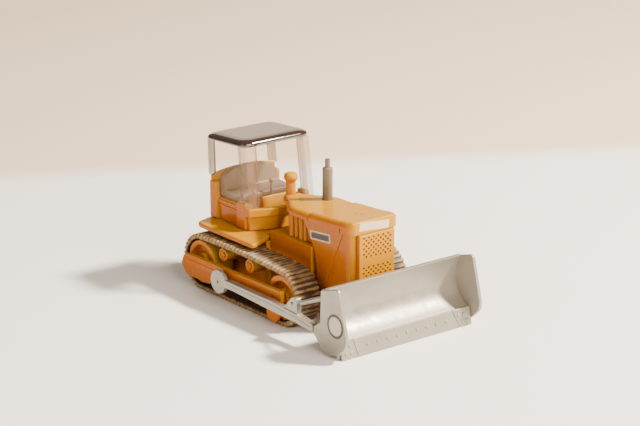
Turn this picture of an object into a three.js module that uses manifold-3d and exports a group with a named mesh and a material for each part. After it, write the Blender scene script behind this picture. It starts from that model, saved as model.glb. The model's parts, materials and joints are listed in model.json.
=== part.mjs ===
// Toy crawler tractor with a straight dozer blade, a 1:87 model.
// Millimetres. +X points to the blade, +Y to the driver's left, +Z up; the tracks stand on z = 0.
import * as THREE from 'three';
import { mergeVertices } from 'three/addons/utils/BufferGeometryUtils.js';
import Module from 'manifold-3d';

const wasm = await Module();
wasm.setup();

// ---- driving dimensions ----

const REAR_X = -31.2;
const FRONT_X = 32.885;
const CLEARANCE = 0.1;              // between pieces that stay still
const RUNNING_CLEARANCE = 0.1;      // round anything that turns
const OVERSHOOT = 0.1;              // how far a cut or a joined solid reaches past its face

const TRACK = {
  inner: 9.0, outer: 15.5, thick: 1.25,
  rear: { x: -24.6, z: 6.6, radius: 6.6 },
  front: { x: 5.6, z: 6.45, radius: 6.45 },
  crownX: -10, crownZ: 13.85,
};
const WHEEL = { inner: 9.8, outer: 15.0, drive: 5.1, idler: 5.0, hub: 1.9, recess: 1.3 };
const AXLE_RADIUS = 0.75;
const AXLE_HALF = 15.5;
const ROLLER = { radius: 1.55, inner: 10.2, outer: 14.7, pin: 0.5, z: 10.25, xs: [-16.65, -6.65] };
const SIDE_FRAME = {
  inner: 15.75, plateOuter: 16.3, railOuter: 16.85,
  plate: [
    [-31.1, 5.0, 1.2], [-29.0, 2.7, 1.2], [-20.0, 2.7, 0.8], [-18.6, 3.5],
    [7.5, 3.7, 0.6], [7.7, 8.3, 0.6], [-29.6, 8.0, 1.6]],
  rail: [[-27.4, 5.7, 0.5], [7.7, 6.0, 0.4], [7.7, 8.7, 0.5], [-28.6, 8.1, 1.0]],
  beam: [[-18.6, 3.4], [-0.4, 3.4], [-0.4, 8.2], [-18.6, 8.2]],
};
const LUG = { x: 4.4, z: 2.9, radius: 2.1 };

const PIVOT = { x: -12.75, z: 5.8, disc: 2.65, stub: 1.0, stubInner: 15.4 };
const ARM = {
  inner: 17.5, outer: 19.0, disc: 17.95, lugOuter: 18.75,
  beam: [
    [-12.0, 5.0], [-7.9, 5.3, 1.0], [7.3, 4.7, 2.0], [15.4, 4.55, 2.0], [21.65, 4.05],
    [21.65, 5.6], [15.5, 6.4, 2.0], [7.0, 6.85, 2.0], [-9.0, 6.9, 1.0], [-12.0, 6.7]],
  lug: [[10.8, 6.0], [14.0, 9.6, 0.4], [15.9, 9.9, 0.5], [15.9, 6.0]],
  eye: { x: 14.2, z: 8.4, radius: 0.35 },
};
const STRUT = { radius: 0.55, y: 17.8, rearX: 16.4, rearZ: 8.9, frontX: 23.5, frontZ: 11.9 };

const BLADE_HALF = 19.0;
const BOARD_HALF = 18.8;
const END_PLATE = {
  thick: 0.8,
  shape: [
    [24.35, 14.25, 0.4], [30.1, 15.85, 1.0], [32.98, 5.4, 0.8], [32.55, 3.5, 0.6], [29.9, 1.1, 0.8],
    [26.8, 0.5, 0.8], [24.9, 0.95, 0.5], [23.9, 2.1, 0.5], [21.8, 3.9, 0.2], [22.0, 5.6, 0.2],
    [24.1, 7.0, 0.5]],
};
const EDGE = { half: 18.1, height: 4.1, thick: 0.55, lean: 13, toe: 30.67 };
const EDGE_BOLT = { radius: 0.38, proud: 0.22, pitch: 2.73, count: 9, up: 2.2 };
const END_BOLTS = {                 // rows of [distance up the edge, y positions]
  right: [[1.25, [-16.9, -15.4]], [2.75, [-16.9, -15.6]]],
  left: [[1.25, [15.5, 16.9]], [2.75, [14.6, 16.1]]],
};
const SEAMS = { right: [-13.7, -14.7], left: [14.7, 12.95] };     // [at the bottom, at the top]

const CHASSIS = {
  bottom: 2.9, half: 8.0, rear: -27.5, front: 17.1,
  tier: { rear: -9.2, front: 5.6, half: 6.9 },
  nose: { rear: 0, half: 5.1 },
};
const BAY_FLOOR = 16.3;
const ENGINE = {
  plan: [[17.1, 5.1, 0.4], [-3.4, 5.1, 0.6], [-7.4, 2.6, 0.8], [-10.4, 0.9, 0.6]],
  pipeY: 5.25,
  pipes: [[-3.3, 0.7], [-1.6, 0.5], [0.1, 0.6], [1.6, 0.5]],       // [x, radius]
};
const DECK = {
  low: 14.0, high: 15.1,
  plan: [
    [-11.5, 3.8, 0.5], [-8.9, 8.3, 1.0], [-6.0, 13.9, 1.6], [-28.0, 13.9, 1.2], [-29.6, 9.2, 0.8]],
};
const SILL = 20.3;
const WALL = 0.9;
const CAB = {
  tip: { x: -11.6, half: 2.9 }, shoulder: -14.1, rear: -29.3, half: 9.2,
  cowlZ: 18.4, cowlInset: 0.5, postInner: 8.0, frontPost: 21.4, rearPost: 24.0,
  arch: { half: 8.9, side: 25.2, top: 26.3, bend: 6, thick: 1.0 },
};
const DOORWAY = { rear: -26.6, front: -19.1, depth: 8.4, step: 0.8 };
const PEDESTAL = { rear: -27.2, front: -21.2, half: 6.6, top: 20.4 };
const GLASS = {
  thick: 0.9, recess: 0.3,
  bottom: { rear: -29.2, front: -14.0, half: 9.3 },
  top: { rear: -30.2, front: -15.5, half: 8.95, rearZ: 33.6, frontZ: 34.27 },
};
const WINDOW = {
  low: 19, high: 35, flare: 0.4, frontHalf: 5.8, rearHalf: 7.4,
  side: [[-27.6, 19], [-16.9, 19], [-18.5, 35], [-28.6, 35]],
};
const ROOF = {
  half: 9.6, corner: 1.5, rear: -30.8, front: -15.3,
  side: [[-30.5, 33.7, 0.2], [-15.5, 34.4, 0.2], [-15.3, 36.0, 0.9], [-30.8, 35.1, 0.9]],
};
const SEAT = {
  half: 7.5, shoulder: 23.8, top: 26.9,
  side: [
    [-20.2, 20.5, 0.3], [-20.2, 21.8, 0.6], [-25.2, 22.1, 0.5], [-26.2, 27.0, 0.5],
    [-27.6, 27.0, 0.4], [-27.3, 20.5, 0.3]],
};
const DASHBOARD = {
  half: 4.2, side: [[-17.2, 16.3], [-15.3, 16.3], [-15.5, 22.2, 0.4], [-16.8, 21.8, 0.6]],
};
const LEVER = { low: 16.3, rod: 0.28, knob: 0.5 };
const HOOD = {
  half: 6.5, front: 18.6, bottom: 8.2, wall: 1.2, lip: 6.95, lipZ: 22.0,
  side: [[2.3, 22.2], [6.4, 15.6, 0.6], [7.4, 8.2], [18.6, 8.2], [18.6, 22.2]],
};
const CAP = {
  tail: -13, nose: 19.2, crown: 24.9, rim: 1.4, depth: 4,
  step: 5, rearRise: [23.4, 23.75], frontRise: [23.95, 24.85],
  plan: [[19.2, 6.95, 2.0], [-2.6, 6.95, 1.4], [-7.6, 3.6, 1.8], [-12.0, 1.3, 1.0]],
};
const NOTCH = { xs: [4.5, 15.6], half: 0.15, floor: 6.75, low: 21, high: 22.9 };
const GRILLE = { half: 4.9, front: 19.86, top: 21.9, bottom: 8.4 };
const EXHAUST = { x: -1.6, y: 3.4, radius: 1.16, pipe: 0.58, shoulder: 30.9, top: 32.9 };
const PRECLEANER = { x: -10.6, y: 0, neck: 1.15, cap: 1.6, waist: 1.05, shoulder: 26.6, top: 28.4 };
const SOCKET_Z = 23.0;

// ---- colours ----

const ORANGE = [0xf28a12, 0.35, 0];
const SILVER = [0xa9a59c, 0.4, 0.7];
const STEEL = [0xb5b3ae, 0.3, 1];
const RUBBER = [0x4a3426, 0.8, 0];
const GREY = [0x8d8576, 0.55, 0];
const ROOF_BROWN = [0x33221a, 0.12, 0];
const CLEAR = [0xf3d9c2, 0.05, 0];

// ---- shape helpers ----

/** Closed outline through [a, b, cornerRadius] points. */
function outline(points) {
  const shape = new THREE.Shape();
  const count = points.length;
  points.forEach(([a, b, radius = 0], i) => {
    const corner = new THREE.Vector2(a, b);
    const before = new THREE.Vector2(...points[(i + count - 1) % count]);
    const after = new THREE.Vector2(...points[(i + 1) % count]);
    const start = before.sub(corner).setLength(radius).add(corner);
    const end = after.sub(corner).setLength(radius).add(corner);
    if (i === 0) shape.moveTo(start.x, start.y);
    else shape.lineTo(start.x, start.y);
    if (radius > 0) shape.quadraticCurveTo(a, b, end.x, end.y);
  });
  shape.closePath();
  return shape;
}

/** Outline symmetric about b = 0, from the points of its positive half. */
function mirrored(points) {
  const other = points.map(([a, b, radius]) => [a, -b, radius]).reverse();
  return outline([...points, ...other]);
}

function extrude(shape, depth, curveSegments) {
  return new THREE.ExtrudeGeometry(shape, { depth, curveSegments, bevelEnabled: false });
}

/** Prism of an x, y outline. */
function alongZ(shape, low, high, curveSegments = 5) {
  return solid(extrude(shape, high - low, curveSegments).translate(0, 0, low));
}

/** Prism of an x, z outline. */
function alongY(shape, low, high, curveSegments = 5) {
  return solid(extrude(shape, high - low, curveSegments).rotateX(Math.PI / 2).translate(0, high, 0));
}

function alongXGeometry(shape, low, high, curveSegments = 5) {
  const turn = new THREE.Matrix4().makeBasis(
    new THREE.Vector3(0, 1, 0), new THREE.Vector3(0, 0, 1), new THREE.Vector3(1, 0, 0));
  return extrude(shape, high - low, curveSegments).applyMatrix4(turn).translate(low, 0, 0);
}

/** Prism of a y, z outline. */
function alongX(shape, low, high) {
  return solid(alongXGeometry(shape, low, high));
}

/** Prism of an x, z outline between two distances from the middle plane, on one side of it. */
function onSide(side, shape, inner, outer, curveSegments = 5) {
  const ends = [side * inner, side * outer];
  return alongY(shape, Math.min(...ends), Math.max(...ends), curveSegments);
}

/** Round bar parallel to Y between two distances from the middle plane, on one side of it. */
function barOnSide(side, radius, inner, outer, x, z, segments) {
  const ends = [side * inner, side * outer];
  return barY(radius, Math.min(...ends), Math.max(...ends), x, z, segments);
}

function block([x0, y0, z0], [x1, y1, z1]) {
  const box = new THREE.BoxGeometry(x1 - x0, y1 - y0, z1 - z0);
  return solid(box.translate((x0 + x1) / 2, (y0 + y1) / 2, (z0 + z1) / 2));
}

/** Round bar parallel to Y. */
function barY(radius, low, high, x, z, segments = 20) {
  const bar = new THREE.CylinderGeometry(radius, radius, high - low, segments);
  return solid(bar.translate(x, (low + high) / 2, z));
}

/** Round bar parallel to Z. */
function barZ(radius, low, high, x, y, segments = 20) {
  const bar = new THREE.CylinderGeometry(radius, radius, high - low, segments);
  return solid(bar.rotateX(Math.PI / 2).translate(x, y, (low + high) / 2));
}

/** Round bar between two points. */
function bar(radius, from, to, segments = 12) {
  const line = new THREE.LineCurve3(new THREE.Vector3(...from), new THREE.Vector3(...to));
  const circle = new THREE.Shape().absarc(0, 0, radius, 0, 2 * Math.PI);
  return solid(new THREE.ExtrudeGeometry(circle, { steps: 1, curveSegments: segments, extrudePath: line }));
}

/** Ring or disc turned about the Y axis, from [radius, y] points. */
function turned(points, segments = 36) {
  const profile = points.map(([radius, y]) => new THREE.Vector2(radius, y));
  return solid(new THREE.LatheGeometry(profile, segments));
}

/** Straight-sided body from an x, y outline at one height up to as many x, y, z points. */
function loft(lowPoints, highPoints, low) {
  const geometry = extrude(outline(lowPoints), 1, 1);
  const position = geometry.getAttribute('position');
  for (let i = 0; i < position.count; i += 1) {
    const corner = lowPoints.findIndex(([x, y]) =>
      Math.hypot(x - position.getX(i), y - position.getY(i)) < 1e-4);
    const end = position.getZ(i) > 0 ? highPoints[corner] : [...lowPoints[corner], low];
    position.setXYZ(i, ...end);
  }
  return solid(geometry);
}

/** Triangles that still have an area once close vertices are merged. */
function openTriangles(index) {
  const kept = [];
  for (let i = 0; i < index.length; i += 3) {
    const [a, b, c] = index.slice(i, i + 3);
    if (a !== b && b !== c && c !== a) kept.push(a, b, c);
  }
  return new Uint32Array(kept);
}

function solid(geometry) {
  geometry.deleteAttribute('normal');
  geometry.deleteAttribute('uv');
  const merged = mergeVertices(geometry, 1e-5);
  return new wasm.Manifold(new wasm.Mesh({
    numProp: 3,
    vertProperties: new Float32Array(merged.getAttribute('position').array),
    triVerts: openTriangles(merged.getIndex().array),
  }));
}

function union(solids) {
  return solids.reduce((whole, piece) => whole.add(piece));
}

const bulldozer = new THREE.Group();
bulldozer.name = 'toy_bulldozer';
bulldozer.position.x = -(REAR_X + FRONT_X) / 2;

function addPiece(name, manifold, [color, roughness, metalness]) {
  const { vertProperties, triVerts } = manifold.getMesh();
  const geometry = new THREE.BufferGeometry();
  geometry.setAttribute('position', new THREE.BufferAttribute(vertProperties, 3));
  geometry.setIndex(new THREE.BufferAttribute(triVerts, 1));
  geometry.computeVertexNormals();
  const material = new THREE.MeshStandardMaterial({ color, roughness, metalness });
  const mesh = new THREE.Mesh(geometry, material);
  mesh.name = name;
  bulldozer.add(mesh);
}

// ---- running gear ----

/** Draws the belt's outline on a path, set in by a distance from the outer surface. */
function beltLoop(loop, inset) {
  const { rear, front, crownX, crownZ } = TRACK;
  loop.moveTo(rear.x, inset);
  loop.absarc(front.x, front.z, front.radius - inset, -Math.PI / 2, Math.PI / 2, false);
  loop.quadraticCurveTo(crownX, crownZ - inset, rear.x, rear.z + rear.radius - inset);
  loop.absarc(rear.x, rear.z, rear.radius - inset, Math.PI / 2, 1.5 * Math.PI, false);
  return loop;
}

function trackBelt(side) {
  const shape = beltLoop(new THREE.Shape(), 0);
  shape.holes.push(beltLoop(new THREE.Path(), TRACK.thick));
  return onSide(side, shape, TRACK.inner, TRACK.outer, 20);
}

/** Wheel with a dished outer face, turning on an axle. */
function trackWheel(side, radius, { x, z }) {
  const bore = AXLE_RADIUS + RUNNING_CLEARANCE;
  const rim = radius - WHEEL.recess;
  const face = side * WHEEL.outer;
  const back = side * WHEEL.inner;
  const dish = side * (WHEEL.outer - WHEEL.recess);
  const points = [
    [bore, back], [radius, back], [radius, face], [rim, face],
    [rim, dish], [WHEEL.hub, dish], [WHEEL.hub, face], [bore, face], [bore, back]];
  return turned(side > 0 ? points : points.reverse()).translate(x, 0, z);
}

function carrierRoller(side, x) {
  const { radius, inner, outer, pin, z } = ROLLER;
  const bore = barOnSide(side, pin + RUNNING_CLEARANCE, inner - 1, outer + 1, x, z, 16);
  return barOnSide(side, radius, inner, outer, x, z, 24).subtract(bore);
}

function carrierPin(side, x) {
  return barOnSide(side, ROLLER.pin, CHASSIS.half + CLEARANCE, ROLLER.outer, x, ROLLER.z, 12);
}

function trackFrame(side) {
  const { inner, plateOuter, railOuter, plate, rail, beam } = SIDE_FRAME;
  const bore = PIVOT.stub + RUNNING_CLEARANCE;
  const socket = barOnSide(side, bore, inner - 1, railOuter + 1, PIVOT.x, PIVOT.z, 20);
  return union([
    onSide(side, outline(plate), inner, plateOuter),
    onSide(side, outline(rail), inner, railOuter),
    onSide(side, outline(beam), CHASSIS.half + CLEARANCE, plateOuter - OVERSHOOT),
    barOnSide(side, LUG.radius, inner, railOuter, LUG.x, LUG.z, 28),
  ]).subtract(socket);
}

function runningGear() {
  for (const [label, side] of [['right', -1], ['left', 1]]) {
    addPiece(`track_belt_${label}`, trackBelt(side), RUBBER);
    addPiece(`track_frame_${label}`, trackFrame(side), ORANGE);
    addPiece(`drive_wheel_${label}`, trackWheel(side, WHEEL.drive, TRACK.rear), ORANGE);
    addPiece(`idler_wheel_${label}`, trackWheel(side, WHEEL.idler, TRACK.front), ORANGE);
    ['rear', 'front'].forEach((place, i) => {
      addPiece(`carrier_roller_${place}_${label}`, carrierRoller(side, ROLLER.xs[i]), ORANGE);
      addPiece(`carrier_pin_${place}_${label}`, carrierPin(side, ROLLER.xs[i]), ORANGE);
    });
  }
  for (const [name, { x, z }] of [['drive_axle', TRACK.rear], ['idler_axle', TRACK.front]]) {
    addPiece(name, barY(AXLE_RADIUS, -AXLE_HALF, AXLE_HALF, x, z, 20), STEEL);
  }
}

// ---- chassis, engine and hood ----

function chassis() {
  const { bottom, half, rear, front, tier, nose } = CHASSIS;
  const body = union([
    block([rear, -half, bottom], [tier.rear, half, DECK.low - CLEARANCE]),
    block([tier.rear - OVERSHOOT, -tier.half, bottom], [tier.front, tier.half, BAY_FLOOR]),
    block([nose.rear, -nose.half, bottom], [front, nose.half, BAY_FLOOR]),
  ]);
  const bores = [TRACK.rear, TRACK.front].map(({ x, z }) =>
    barY(AXLE_RADIUS + CLEARANCE, -AXLE_HALF, AXLE_HALF, x, z));
  return body.subtract(union(bores));
}

/** Engine casing under the hood, with the pipes that show in the open bay. */
function engineBlock() {
  const top = HOOD.lipZ - CLEARANCE;
  const low = BAY_FLOOR + CLEARANCE;
  const pipes = [-1, 1].flatMap((side) =>
    ENGINE.pipes.map(([x, radius]) => barZ(radius, low, top, x, side * ENGINE.pipeY, 16)));
  return union([alongZ(mirrored(ENGINE.plan), low, top), ...pipes]);
}

/** Length of the cap with rounded top edges, whose top rises from z0 to z1. */
function capLength(x0, x1, z0, z1) {
  const { rim, depth } = CAP;
  const half = HOOD.lip;
  const section = outline([[-half, -depth], [half, -depth], [half, 0, rim], [-half, 0, rim]]);
  const rise = (z1 - z0) / (x1 - x0);
  const slope = new THREE.Matrix4().makeShear(0, rise, 0, 0, 0, 0);
  const geometry = alongXGeometry(section, x0, x1).translate(-x0, 0, 0);
  return solid(geometry.applyMatrix4(slope).translate(x0, 0, z0));
}

/** Cap of the hood, with a step across it. */
function hoodCap() {
  const { tail, nose, crown, rim, step, rearRise, frontRise, plan } = CAP;
  const { lip, lipZ } = HOOD;
  const side = outline([[tail, lipZ], [nose, lipZ], [nose, crown, rim - 0.1], [tail, crown]]);
  return capLength(tail, step, ...rearRise)
    .add(capLength(step, nose, ...frontRise))
    .intersect(alongY(side, -lip - 1, lip + 1))
    .intersect(alongZ(mirrored(plan), lipZ - 1, crown + 1));
}

/** Side panels and front of the hood, open underneath. */
function hoodSkirt() {
  const { half, front, bottom, wall, lipZ, side } = HOOD;
  const plan = mirrored([[front, half, 1.5], [0, half]]);
  const inside = block([-5, wall - half, bottom - 1], [front - wall, half - wall, lipZ]);
  return alongY(outline(side), -half, half)
    .intersect(alongZ(plan, bottom - 1, lipZ + 1))
    .subtract(inside);
}

/** Slots down the cap's lip, a pair at each place along it. */
function lipNotches() {
  const { xs, half, floor, low, high } = NOTCH;
  const slots = xs.flatMap((x) => [-1, 1].map((side) => {
    const [near, far] = [side * floor, side * (floor + 1)].sort((a, b) => a - b);
    return block([x - half, near, low], [x + half, far, high]);
  }));
  return union(slots);
}

function engineHood() {
  const above = CAP.crown + 1;
  const { x, y, radius } = EXHAUST;
  const sockets = union([
    barZ(radius + CLEARANCE, SOCKET_Z, above, x, y, 24),
    barZ(PRECLEANER.neck + CLEARANCE, SOCKET_Z, above, PRECLEANER.x, PRECLEANER.y, 24),
  ]);
  return hoodCap().add(hoodSkirt()).subtract(sockets).subtract(lipNotches());
}

function radiatorGrille() {
  const { half, front, top, bottom } = GRILLE;
  const face = outline([[-half, bottom, 0.3], [half, bottom, 0.3], [half, top, 0.4], [-half, top, 0.4]]);
  return alongX(face, HOOD.front + CLEARANCE, front);
}

function exhaustStack() {
  const { x, y, radius, pipe, shoulder, top } = EXHAUST;
  const silencer = barZ(radius, SOCKET_Z + CLEARANCE, shoulder, x, y, 28);
  return silencer.add(barZ(pipe, shoulder - 1, top, x, y, 20));
}

/** Mushroom-shaped intake on a short neck, turned about its own upright axis. */
function airPrecleaner() {
  const { x, y, neck, cap, waist, shoulder, top } = PRECLEANER;
  const bottom = SOCKET_Z + CLEARANCE;
  const profile = [
    [0, bottom], [neck, bottom], [neck, shoulder - 0.9], [waist, shoulder - 0.3],
    [cap, shoulder + 0.3], [cap, top - 0.7], [cap - 0.5, top - 0.1], [0, top]];
  const geometry = new THREE.LatheGeometry(profile.map(([r, h]) => new THREE.Vector2(r, h)), 28);
  return solid(geometry.rotateX(Math.PI / 2).translate(x, y, 0));
}

function engineSection() {
  addPiece('chassis', chassis(), ORANGE);
  addPiece('engine_block', engineBlock(), ORANGE);
  addPiece('engine_hood', engineHood(), ORANGE);
  addPiece('radiator_grille', radiatorGrille(), ORANGE);
  addPiece('exhaust_stack', exhaustStack(), GREY);
  addPiece('air_precleaner', airPrecleaner(), ORANGE);
}

// ---- deck and cab ----

function deckPlate() {
  return alongZ(mirrored(DECK.plan), DECK.low, DECK.high);
}

/** Upright prism of the cab tub's outline, set in by a distance. */
function cabPrism(inset, low, high) {
  const { tip, shoulder, rear, half } = CAB;
  const plan = mirrored([
    [tip.x - inset, tip.half - 0.4 * inset], [shoulder - inset, half - inset], [rear + inset, half - inset]]);
  return alongZ(plan, low, high);
}

/** Rear wall of the cab, arched over the seat back. */
function rearArch(low, grow, x0, x1) {
  const { half, side, top, bend } = CAB.arch;
  const shape = new THREE.Shape();
  shape.moveTo(-half - grow, low);
  shape.lineTo(half + grow, low);
  shape.lineTo(half + grow, side + grow);
  shape.quadraticCurveTo(bend, top + grow, 0, top + grow);
  shape.quadraticCurveTo(-bend, top + grow, -half - grow, side + grow);
  shape.closePath();
  return alongX(shape, x0, x1);
}

/** Posts at the back and the front of the doorway, on one side. */
function doorPosts(side, low) {
  const { rear, half, postInner, frontPost, rearPost } = CAB;
  const back = outline([[rear, low], [-26.6, low], [-26.9, rearPost, 0.5], [rear, rearPost]]);
  const front = outline([[-19.2, low], [-15.6, low], [-15.6, frontPost, 0.5], [-18.8, frontPost, 0.5]]);
  return onSide(side, back, postInner, half).add(onSide(side, front, postInner, half));
}

function doorway(side, low) {
  const { rear, front, depth, step } = DOORWAY;
  const [near, far] = [side * depth, side * (depth + 2)].sort((a, b) => a - b);
  return block([rear, near, low + step], [front, far, SILL + 1]);
}

function cabBase() {
  const low = DECK.high + CLEARANCE;
  const { cowlZ, cowlInset, rear, arch } = CAB;
  const walls = cabPrism(cowlInset, low, cowlZ)
    .add(cabPrism(0, cowlZ, SILL))
    .subtract(cabPrism(cowlInset + WALL, low + 1, SILL + 1));
  const pedestal = block(
    [PEDESTAL.rear, -PEDESTAL.half, low + 0.5], [PEDESTAL.front, PEDESTAL.half, PEDESTAL.top]);
  const back = rearArch(low, 0, rear, rear + arch.thick);
  return union([walls, doorPosts(-1, low), doorPosts(1, low), back, pedestal])
    .subtract(doorway(-1, low))
    .subtract(doorway(1, low));
}

/** Upright box that narrows and leans like the glazing, set in by a distance. */
function glassBox(inset, extra = 0) {
  const { bottom, top } = GLASS;
  const corners = ({ rear, front, half }) => [
    [rear + inset, inset - half], [front - inset, inset - half],
    [front - inset, half - inset], [rear + inset, half - inset]];
  const topZ = [top.rearZ, top.frontZ, top.frontZ, top.rearZ];
  const high = corners(top).map(([x, y], i) => [x, y, topZ[i] + extra]);
  return loft(corners(bottom), high, SILL + CLEARANCE - extra);
}

/** Clear moulding: four corner posts with a thinner, recessed pane between each two. */
function cabGlazing() {
  const { low, high, flare, frontHalf, rearHalf, side } = WINDOW;
  const endWindow = (half) =>
    outline([[-half, low], [half, low], [half + flare, high], [-half - flare, high]]);
  const panes = union([
    alongY(outline(side), -10, 10),
    alongX(endWindow(frontHalf), -17, -12),
    alongX(endWindow(rearHalf), -31, -28),
  ]);
  const skin = glassBox(0, OVERSHOOT).subtract(glassBox(GLASS.recess, 2 * OVERSHOOT));
  const roomForPosts = union([
    block([-31, -10, SILL - 1], [-26.5, 10, CAB.rearPost + CLEARANCE]),
    block([-19.3, -10, SILL - 1], [-15.5, 10, CAB.frontPost + CLEARANCE]),
  ]);
  return glassBox(0)
    .subtract(glassBox(GLASS.thick, OVERSHOOT))
    .subtract(skin.intersect(panes))
    .subtract(roomForPosts)
    .subtract(rearArch(15, CLEARANCE, -31, -27));
}

function cabRoof() {
  const { half, corner, rear, front, side } = ROOF;
  const plan = mirrored([[front, half, corner], [rear, half, corner]]);
  return alongY(outline(side), -half, half).intersect(alongZ(plan, 33, 37));
}

/** Bench with a back that is arched across its top. */
function seat() {
  const { half, shoulder, top, side } = SEAT;
  const front = new THREE.Shape();
  front.moveTo(-half, 19);
  front.lineTo(half, 19);
  front.lineTo(half, shoulder);
  front.quadraticCurveTo(half - 0.3, top, 0, top);
  front.quadraticCurveTo(0.3 - half, top, -half, shoulder);
  front.closePath();
  return alongY(outline(side), -half, half).intersect(alongX(front, -28, -20));
}

function dashboard() {
  return alongY(outline(DASHBOARD.side), -DASHBOARD.half, DASHBOARD.half);
}

function controlLever(x, y, top) {
  const { low, rod, knob } = LEVER;
  const ball = new THREE.SphereGeometry(knob, 14, 10).translate(x, y, top - knob);
  return barZ(rod, low, top - knob, x, y, 12).add(solid(ball));
}

function cabSection() {
  addPiece('deck_plate', deckPlate(), ORANGE);
  addPiece('cab_base', cabBase(), ORANGE);
  addPiece('cab_glazing', cabGlazing(), CLEAR);
  addPiece('cab_roof', cabRoof(), ROOF_BROWN);
  addPiece('seat', seat(), GREY);
  addPiece('dashboard', dashboard(), ORANGE);
  addPiece('blade_lever', controlLever(-19.0, 0.8, 24.9), GREY);
  addPiece('steering_lever_left', controlLever(-19.6, -3.7, 22.8), GREY);
  addPiece('steering_lever_right', controlLever(-19.6, -7.0, 22.9), GREY);
}

// ---- blade and push arms ----

/** Curved board: its hollow face from the top down, the heel, and its back up again. */
function moldboard() {
  const shape = new THREE.Shape();
  shape.moveTo(26.3, 14.75);
  shape.quadraticCurveTo(22.6, 7.6, 28.7, 3.95);
  shape.lineTo(29.05, 3.7);
  shape.lineTo(29.9, 0.3);
  shape.lineTo(29.2, 0.3);
  shape.lineTo(28.2, 2.9);
  shape.quadraticCurveTo(21.3, 7.0, 25.2, 14.75);
  shape.closePath();
  return alongY(shape, -BOARD_HALF, BOARD_HALF);
}

function bladeShell() {
  const ends = [-1, 1].map((side) =>
    onSide(side, outline(END_PLATE.shape), BLADE_HALF - END_PLATE.thick, BLADE_HALF));
  return union([moldboard(), ...ends]);
}

/** Point on the front of the leaning cutting edge, a distance up from its toe. */
function onEdge(up, out = 0) {
  const lean = THREE.MathUtils.degToRad(EDGE.lean);
  const [sin, cos] = [Math.sin(lean), Math.cos(lean)];
  return [EDGE.toe - up * sin + out * cos, up * cos + out * sin];
}

/** Strip of the cutting edge between two y positions given as [at the bottom, at the top]. */
function edgeStrip(from, to) {
  const back = EDGE.thick / Math.cos(THREE.MathUtils.degToRad(EDGE.lean));
  const [topX, topZ] = onEdge(EDGE.height);
  const side = outline([[EDGE.toe, 0], [topX, topZ], [topX - back, topZ], [EDGE.toe - back, 0]]);
  const front = outline([[from[0], 0], [to[0], 0], [to[1], topZ], [from[1], topZ]]);
  return alongY(side, -20, 20).intersect(alongX(front, 28, 32));
}

/** Moulded bolt head on the front of the cutting edge. */
function boltHead(y, up) {
  const [[x0, z0], [x1, z1]] = [onEdge(up, -0.2), onEdge(up, EDGE_BOLT.proud)];
  return bar(EDGE_BOLT.radius, [x0, y, z0], [x1, y, z1], 5);
}

/** Long middle piece of the cutting edge, with its row of bolts. */
function middleEdge() {
  const { pitch, count, up } = EDGE_BOLT;
  const gap = CLEARANCE / 2;
  const strip = edgeStrip(SEAMS.right.map((y) => y + gap), SEAMS.left.map((y) => y - gap));
  const bolts = Array.from({ length: count }, (_, i) => boltHead((i - (count - 1) / 2) * pitch, up));
  return union([strip, ...bolts]);
}

/** End piece of the cutting edge, with two rows of two bolts. */
function endBit(label) {
  const gap = CLEARANCE / 2;
  const strip = label === 'right'
    ? edgeStrip([-EDGE.half, -EDGE.half], SEAMS.right.map((y) => y - gap))
    : edgeStrip(SEAMS.left.map((y) => y + gap), [EDGE.half, EDGE.half]);
  const bolts = END_BOLTS[label].flatMap(([up, ys]) => ys.map((y) => boltHead(y, up)));
  return union([strip, ...bolts]);
}

function pushArm(side) {
  const { inner, outer, disc, lugOuter, beam, lug, eye } = ARM;
  return union([
    onSide(side, outline(beam), inner, outer),
    onSide(side, outline(lug), inner, lugOuter),
    barOnSide(side, PIVOT.disc, disc, outer, PIVOT.x, PIVOT.z, 36),
    barOnSide(side, PIVOT.stub, PIVOT.stubInner, disc + 0.5, PIVOT.x, PIVOT.z, 20),
  ]).subtract(barOnSide(side, eye.radius, inner - 1, outer + 1, eye.x, eye.z, 12));
}

function braceStrut(side) {
  const { radius, y, rearX, rearZ, frontX, frontZ } = STRUT;
  return bar(radius, [rearX, side * y, rearZ], [frontX, side * y, frontZ], 12);
}

function bladeSection() {
  addPiece('blade_shell', bladeShell(), SILVER);
  addPiece('cutting_edge', middleEdge(), SILVER);
  addPiece('end_bit_right', endBit('right'), SILVER);
  addPiece('end_bit_left', endBit('left'), SILVER);
  for (const [label, side] of [['right', -1], ['left', 1]]) {
    addPiece(`push_arm_${label}`, pushArm(side), SILVER);
    addPiece(`brace_strut_${label}`, braceStrut(side), SILVER);
  }
}

runningGear();
engineSection();
cabSection();
bladeSection();

export default bulldozer;
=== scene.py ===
import json
import math

import bmesh
import bpy
from mathutils import Matrix, Vector


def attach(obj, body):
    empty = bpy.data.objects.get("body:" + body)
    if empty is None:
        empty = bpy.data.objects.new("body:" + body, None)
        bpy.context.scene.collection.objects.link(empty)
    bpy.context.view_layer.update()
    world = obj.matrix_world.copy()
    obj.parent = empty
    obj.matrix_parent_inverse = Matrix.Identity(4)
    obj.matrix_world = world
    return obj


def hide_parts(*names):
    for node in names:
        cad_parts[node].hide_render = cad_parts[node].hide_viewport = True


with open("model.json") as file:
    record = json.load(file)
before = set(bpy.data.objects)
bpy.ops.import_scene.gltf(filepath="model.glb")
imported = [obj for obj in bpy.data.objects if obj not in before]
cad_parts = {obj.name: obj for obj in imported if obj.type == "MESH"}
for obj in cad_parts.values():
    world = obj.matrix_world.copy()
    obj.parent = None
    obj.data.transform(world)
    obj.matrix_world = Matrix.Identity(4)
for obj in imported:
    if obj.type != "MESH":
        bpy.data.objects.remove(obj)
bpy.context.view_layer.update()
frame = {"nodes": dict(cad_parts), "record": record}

# Everything below is modelled in millimetres, with the blade towards +X.
# place() brings each finished shape into the row frame.
MM = 0.001
ROW_SHIFT = Vector((-0.8425, 0, 0))
TRACTOR = "tractor"
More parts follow.
